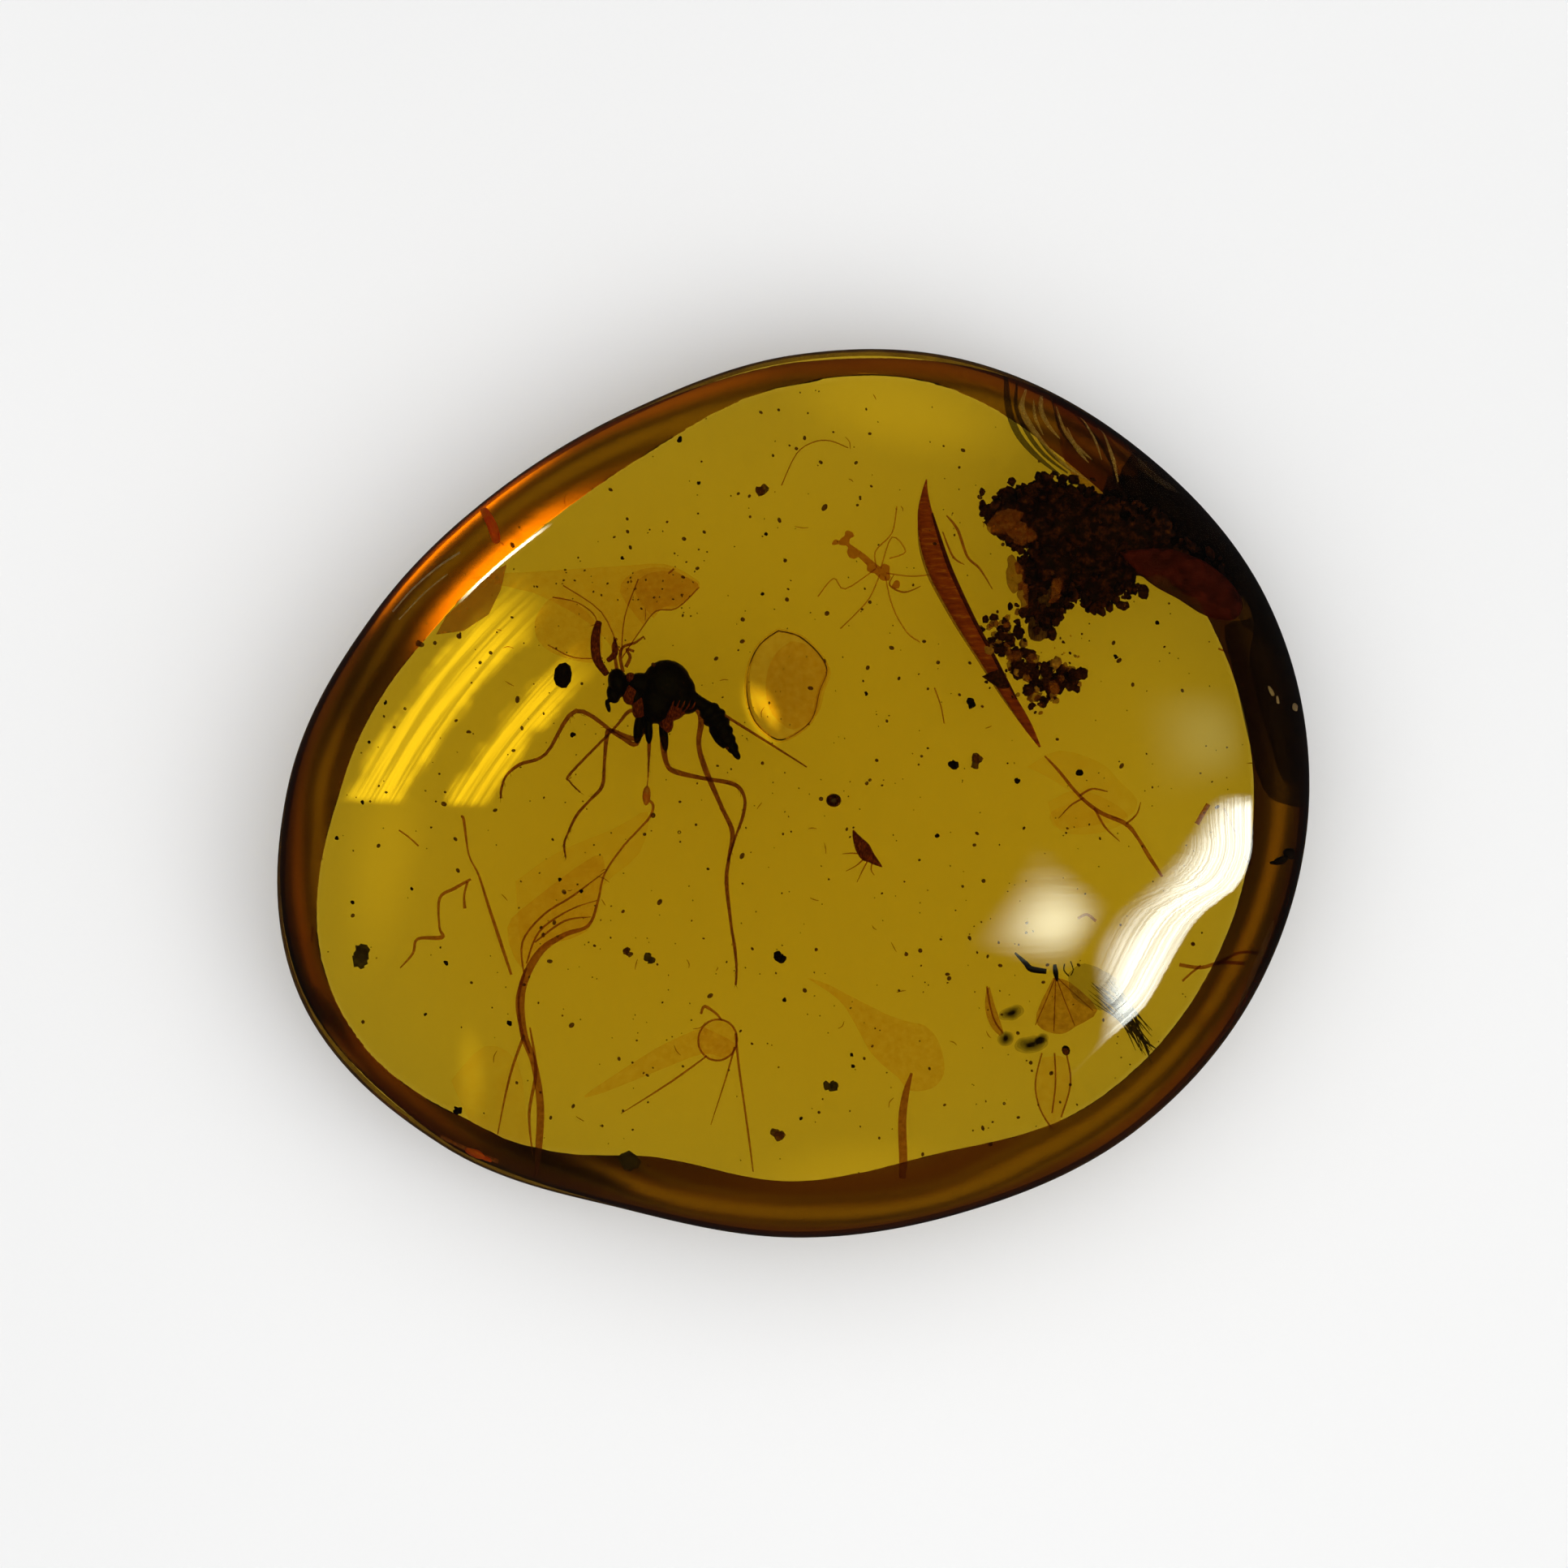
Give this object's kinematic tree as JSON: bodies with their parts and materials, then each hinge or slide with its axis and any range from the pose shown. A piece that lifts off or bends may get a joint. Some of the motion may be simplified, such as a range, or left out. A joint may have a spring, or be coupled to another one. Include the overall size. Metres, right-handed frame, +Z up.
{
  "type": "insect in amber",
  "caption": "Polished pebble of clear yellow-brown amber with a long-legged wasp, small flies, bark and plant debris sealed inside; it lies on its flat underside.",
  "frame": {"origin": "centre of the stone's bounding box, at the level of its flat underside", "axes": "+X along the stone's longest side, with the wasp's head towards -X; +Z up through the domed top; +Y completes the set, with the wasp's back towards +Y"},
  "size_m": [0.026, 0.0224, 0.0068],
  "materials": {
    "amber": "polished clear yellow-brown amber, see-through",
    "dark_chitin": "dark brown insect body, satin",
    "pale_chitin": "pale brown insect parts",
    "bark": "very dark rough bark",
    "frass": "dark crumbs, matt",
    "red_wood": "red-brown wood fibre",
    "plant_fibre": "brown plant fibre, slightly see-through",
    "membrane": "pale thin membrane",
    "pitch": "orange resin flake, satin"
  },
  "bodies": {
    "root": {"amber_lower": "amber", "amber_upper": "amber", "wasp": "dark_chitin", "midge": "pale_chitin", "gnat": "dark_chitin", "crushed_fly": "dark_chitin", "bark_fragment": "bark", "frass_lump": "frass", "wood_splinter": "red_wood", "rootlet": "plant_fibre", "plant_strand": "plant_fibre", "plant_thread": "plant_fibre", "leg_fragment": "pale_chitin", "shed_wing": "membrane", "bud_scale": "membrane", "pitch_flake": "pitch", "spore": "bark"}
  },
  "joints": []
}
